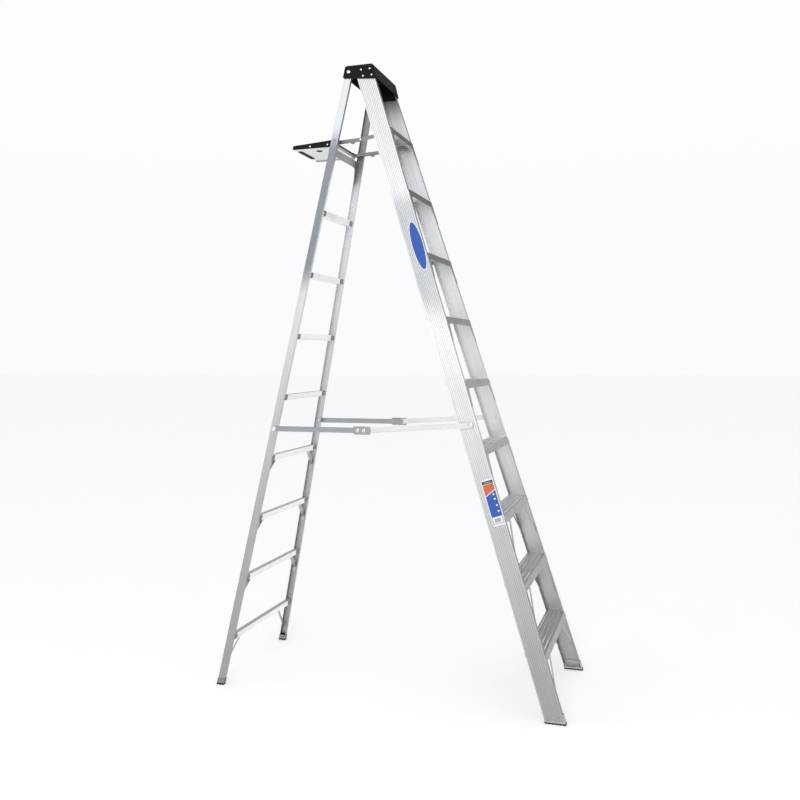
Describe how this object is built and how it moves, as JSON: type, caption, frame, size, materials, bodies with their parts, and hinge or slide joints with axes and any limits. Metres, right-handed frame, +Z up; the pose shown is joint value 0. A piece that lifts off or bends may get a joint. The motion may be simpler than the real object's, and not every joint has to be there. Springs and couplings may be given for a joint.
{
  "type": "stepladder",
  "caption": "Folding aluminium stepladder with ribbed steps, a moulded top cap, a braced rear section, two spreaders and a folding pail shelf.",
  "frame": {"origin": "on the floor, under the middle of the four feet", "axes": "+Z up, +Y from the climbing side to the back, +X to the right of someone climbing"},
  "size_m": [0.713, 1.6618, 2.9069],
  "materials": {
    "front_rail_aluminium": "mill finish extrusion with fine lengthwise ribs",
    "tread_aluminium": "ribbed mill finish extrusion, bright on the rib tops",
    "shoe_alloy": "dull cast and pressed alloy",
    "shoe_rubber": "matt moulded rubber",
    "brace_aluminium": "dull sheared strip",
    "cap_plastic": "finely grained black moulding",
    "rivet_steel": "bright upset rivet heads",
    "spreader_aluminium": "satin rolled strip",
    "rear_rail_aluminium": "mill finish extrusion",
    "rear_bar_aluminium": "mill finish channel",
    "foot_rubber": "matt moulded rubber",
    "shelf_aluminium": "satin pressed sheet",
    "trim_plastic": "black moulded edging"
  },
  "bodies": {
    "front_section": {"front_rail_left": "front_rail_aluminium", "front_shoe_left": "shoe_alloy", "front_shoe_pad_left": "shoe_rubber", "cap_pin_left": "rivet_steel", "spreader_front_pin_left": "rivet_steel", "front_rail_right": "front_rail_aluminium", "front_shoe_right": "shoe_alloy", "front_shoe_pad_right": "shoe_rubber", "cap_pin_right": "rivet_steel", "spreader_front_pin_right": "rivet_steel", "step_1": "tread_aluminium", "step_2": "tread_aluminium", "step_3": "tread_aluminium", "step_4": "tread_aluminium", "step_5": "tread_aluminium", "step_6": "tread_aluminium", "step_7": "tread_aluminium", "step_8": "tread_aluminium", "step_9": "tread_aluminium", "knee_brace_1_left": "brace_aluminium", "knee_brace_1_right": "brace_aluminium", "knee_brace_2_left": "brace_aluminium", "knee_brace_2_right": "brace_aluminium", "knee_brace_3_left": "brace_aluminium", "knee_brace_3_right": "brace_aluminium", "top_cap": "cap_plastic"},
    "rear_section": {"rear_rail_left": "rear_rail_aluminium", "rear_foot_left": "foot_rubber", "rear_brace_left": "brace_aluminium", "shelf_pin_left": "rivet_steel", "spreader_rear_pin_left": "rivet_steel", "rear_rail_right": "rear_rail_aluminium", "rear_foot_right": "foot_rubber", "rear_brace_right": "brace_aluminium", "shelf_pin_right": "rivet_steel", "spreader_rear_pin_right": "rivet_steel", "rear_bar_1": "rear_bar_aluminium", "rear_bar_2": "rear_bar_aluminium", "rear_bar_3": "rear_bar_aluminium", "rear_bar_4": "rear_bar_aluminium", "rear_bar_5": "rear_bar_aluminium", "rear_bar_6": "rear_bar_aluminium", "rear_bar_7": "rear_bar_aluminium", "rear_bar_8": "rear_bar_aluminium", "rear_bar_9": "rear_bar_aluminium"},
    "spreader_front_left": {"spreader_front_arm_left": "spreader_aluminium", "spreader_elbow_left": "spreader_aluminium"},
    "spreader_front_right": {"spreader_front_arm_right": "spreader_aluminium", "spreader_elbow_right": "spreader_aluminium"},
    "spreader_rear_left": {"spreader_rear_arm_left": "spreader_aluminium"},
    "spreader_rear_right": {"spreader_rear_arm_right": "spreader_aluminium"},
    "pail_shelf": {"shelf_tray": "shelf_aluminium", "shelf_front_trim": "trim_plastic", "shelf_arm_left": "shelf_aluminium", "shelf_arm_right": "shelf_aluminium", "shelf_side_trim_left": "trim_plastic", "shelf_side_trim_right": "trim_plastic"},
    "shelf_link_left": {"shelf_link_left": "spreader_aluminium"},
    "shelf_link_right": {"shelf_link_right": "spreader_aluminium"}
  },
  "joints": [
    {"name": "rear_fold", "type": "hinge", "parent": "front_section", "child": "rear_section", "pos_m": [0, 0.196, 2.879], "axis": [-1, 0, 0], "range_deg": [0, 29.5]},
    {"name": "spreader_front_left_pivot", "type": "hinge", "parent": "front_section", "child": "spreader_front_left", "pos_m": [-0.27998, -0.40109, 1.262], "axis": [1, 0, 0], "range_deg": [0, 67.33]},
    {"name": "spreader_rear_left_pivot", "type": "hinge", "parent": "rear_section", "child": "spreader_rear_left", "pos_m": [-0.27698, 0.54883, 1.23], "axis": [-1, 0, 0], "range_deg": [0, 76.97]},
    {"name": "spreader_front_right_pivot", "type": "hinge", "parent": "front_section", "child": "spreader_front_right", "pos_m": [0.27998, -0.40109, 1.262], "axis": [1, 0, 0], "range_deg": [0, 67.33]},
    {"name": "spreader_rear_right_pivot", "type": "hinge", "parent": "rear_section", "child": "spreader_rear_right", "pos_m": [0.27698, 0.54883, 1.23], "axis": [-1, 0, 0], "range_deg": [0, 76.97]},
    {"name": "shelf_fold", "type": "hinge", "parent": "rear_section", "child": "pail_shelf", "pos_m": [0, 0.26254, 2.568], "axis": [1, 0, 0], "range_deg": [0, 101.94]},
    {"name": "shelf_link_left_pivot", "type": "hinge", "parent": "front_section", "child": "shelf_link_left", "pos_m": [-0.1423, 0.025, 2.591], "axis": [-1, 0, 0], "range_deg": [0, 65.72]},
    {"name": "shelf_link_right_pivot", "type": "hinge", "parent": "front_section", "child": "shelf_link_right", "pos_m": [0.1423, 0.025, 2.591], "axis": [-1, 0, 0], "range_deg": [0, 65.72]}
  ],
  "couplings": [
    {"joint": "spreader_front_left_pivot", "follows": "rear_fold", "ratio": 2.2808},
    {"joint": "spreader_rear_left_pivot", "follows": "rear_fold", "ratio": 2.6074},
    {"joint": "spreader_front_right_pivot", "follows": "rear_fold", "ratio": 2.2808},
    {"joint": "spreader_rear_right_pivot", "follows": "rear_fold", "ratio": 2.6074},
    {"joint": "shelf_fold", "follows": "rear_fold", "ratio": 3.454},
    {"joint": "shelf_link_left_pivot", "follows": "rear_fold", "ratio": 2.2261},
    {"joint": "shelf_link_right_pivot", "follows": "rear_fold", "ratio": 2.2261}
  ]
}
